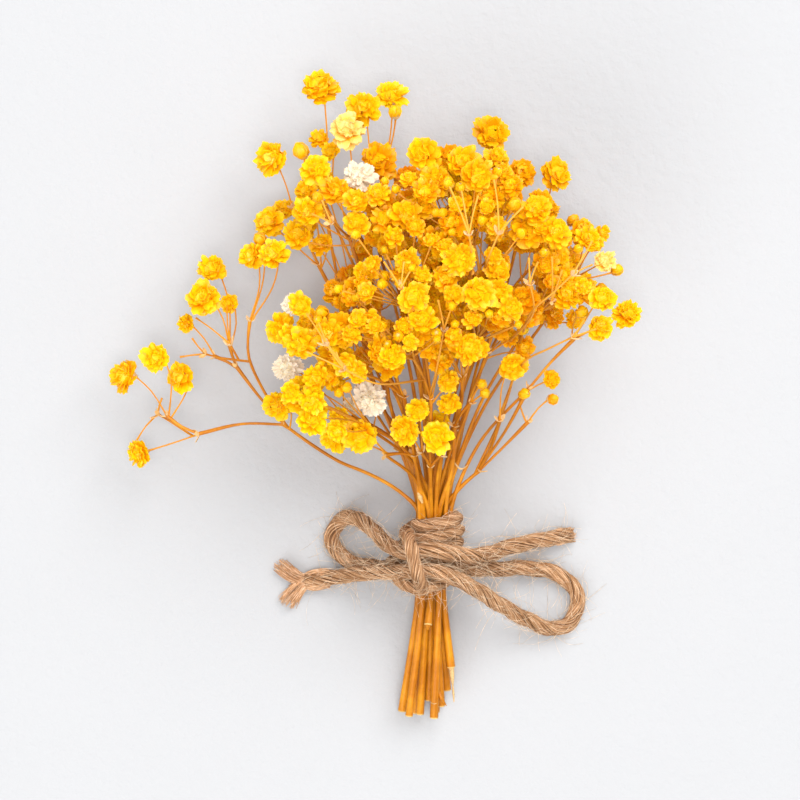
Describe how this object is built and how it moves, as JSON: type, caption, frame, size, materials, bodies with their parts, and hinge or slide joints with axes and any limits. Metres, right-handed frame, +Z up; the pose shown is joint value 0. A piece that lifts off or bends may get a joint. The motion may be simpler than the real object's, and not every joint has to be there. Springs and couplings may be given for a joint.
{
  "type": "dried flower bouquet",
  "caption": "Small dried bouquet of dyed baby's breath with double blooms and buds, bound with a jute twine bow, lying on its back.",
  "frame": {"origin": "on the surface that the bouquet lies on, under the middle of its box without the twine bow", "axes": "+Y along the stems from the cut ends to the flower head, +Z up from the surface"},
  "size_m": [0.1061, 0.1321, 0.0567],
  "materials": {
    "dyed_flowers": "matte",
    "cream_flowers": "matte",
    "jute": "matte"
  },
  "bodies": {
    "root": {"spray_front_left": "dyed_flowers", "spray_front_middle": "dyed_flowers", "spray_front_right": "dyed_flowers", "spray_far_left": "dyed_flowers", "spray_left": "dyed_flowers", "spray_middle_right": "dyed_flowers", "spray_far_right": "dyed_flowers", "spray_upper_left": "dyed_flowers", "spray_middle": "dyed_flowers", "spray_upper_right": "dyed_flowers", "spray_back_left": "dyed_flowers", "spray_under_left": "dyed_flowers", "spray_under_middle": "dyed_flowers", "spray_under_right": "dyed_flowers", "cream_bloom_1": "cream_flowers", "cream_bloom_2": "cream_flowers", "cream_bloom_3": "cream_flowers", "cream_bloom_4": "cream_flowers", "cream_bloom_5": "cream_flowers", "twine_collar": "jute", "twine_knot": "jute", "twine_right_loop": "jute", "twine_left_loop": "jute"}
  },
  "joints": []
}
